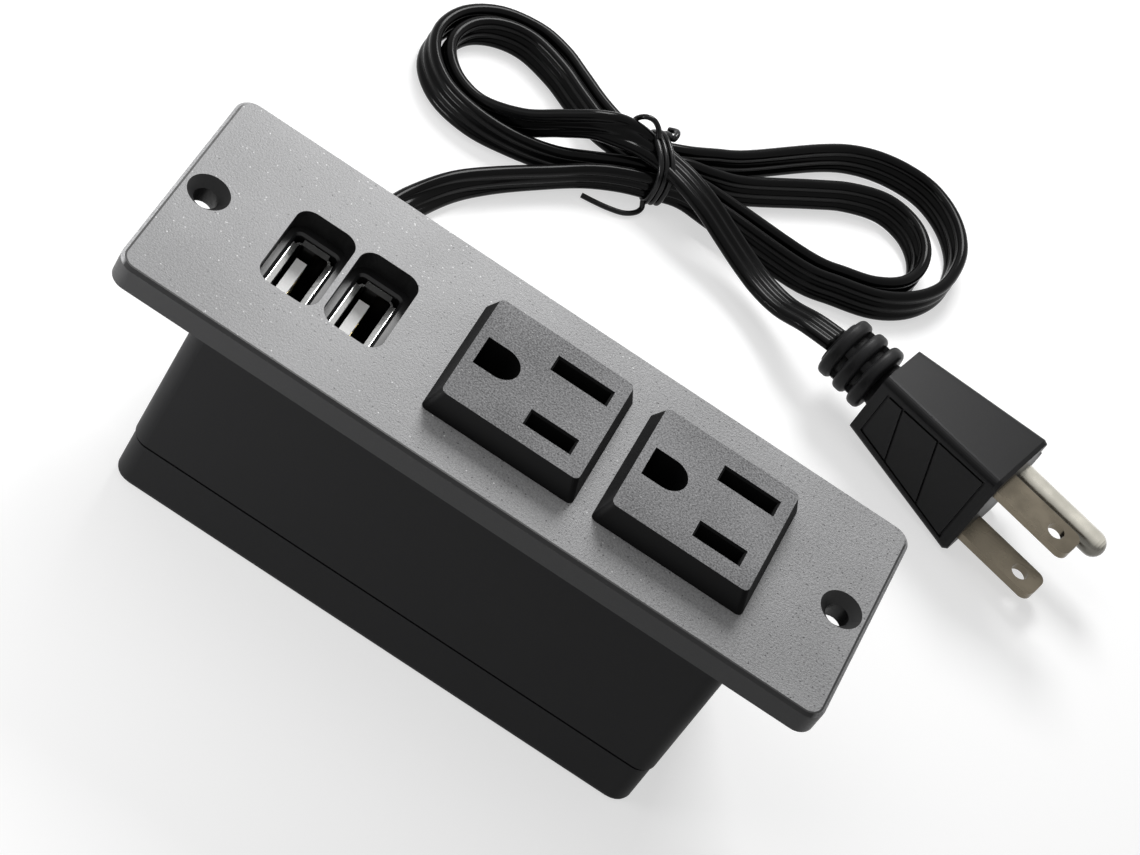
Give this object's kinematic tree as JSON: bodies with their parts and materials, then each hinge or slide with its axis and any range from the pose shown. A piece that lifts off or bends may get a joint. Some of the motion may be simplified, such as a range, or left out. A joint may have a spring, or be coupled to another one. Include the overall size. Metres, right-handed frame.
{
  "type": "recessed power strip",
  "caption": "Recessed desk power strip: grounded outlets and USB ports in a grained face plate over a black box, with a flat cord tied in a bow and a three-pin plug.",
  "frame": {"origin": "middle of the back cover's underside, the plane that the strip stands on", "axes": "+X along the plate from the USB ports to the outlets, +Y towards the wall that the cord leaves, +Z out of the face plate"},
  "size_m": [0.1615, 0.165, 0.048],
  "materials": {
    "plate_grey": "fine leather grain",
    "outlet_grey": "fine speckle grain",
    "case_black": "smooth matte",
    "screw_steel": "zinc plated",
    "inner_black": "moulded",
    "contact_brass": "stamped sheet",
    "board_green": "solder mask",
    "shell_nickel": "bright nickel",
    "port_white": "moulded",
    "ferrite": "sintered",
    "winding_tape": "tape",
    "capacitor_blue": "sleeve",
    "capacitor_green": "sleeve",
    "chip_black": "moulded",
    "choke_green": "coated",
    "fuse_white": "ceramic",
    "cord_black": "soft gloss",
    "lead_black": "insulation",
    "lead_white": "insulation",
    "lead_green": "insulation",
    "lead_red": "insulation",
    "tie_black": "coated wire",
    "plug_black": "moulded matte",
    "blade_metal": "nickel plated, warm"
  },
  "bodies": {
    "root": {"face_plate": "plate_grey", "outlet_face_1": "outlet_grey", "outlet_face_2": "outlet_grey", "upper_housing": "case_black", "back_cover": "case_black", "case_screws": "screw_steel", "contact_base": "inner_black", "base_screws": "screw_steel", "live_busbar": "contact_brass", "neutral_busbar": "contact_brass", "ground_busbar": "contact_brass", "usb_board": "board_green", "board_screws": "screw_steel", "usb_bezel": "case_black", "usb_shell_1": "shell_nickel", "usb_shell_2": "shell_nickel", "usb_tongue_1": "port_white", "usb_tongue_2": "port_white", "usb_contacts": "contact_brass", "transformer_core": "ferrite", "transformer_winding": "winding_tape", "input_capacitor": "capacitor_blue", "output_capacitor": "capacitor_green", "bridge_rectifier": "chip_black", "control_chip": "chip_black", "output_diode": "chip_black", "noise_choke": "choke_green", "fuse": "fuse_white", "cord_gland": "cord_black", "live_lead": "lead_black", "neutral_lead": "lead_white", "ground_lead": "lead_green", "charger_leads": "lead_red", "power_cord": "cord_black", "cord_tie": "tie_black", "plug_body": "plug_black", "plug_relief": "plug_black", "live_blade": "blade_metal", "neutral_blade": "blade_metal", "ground_pin": "blade_metal"}
  },
  "joints": []
}
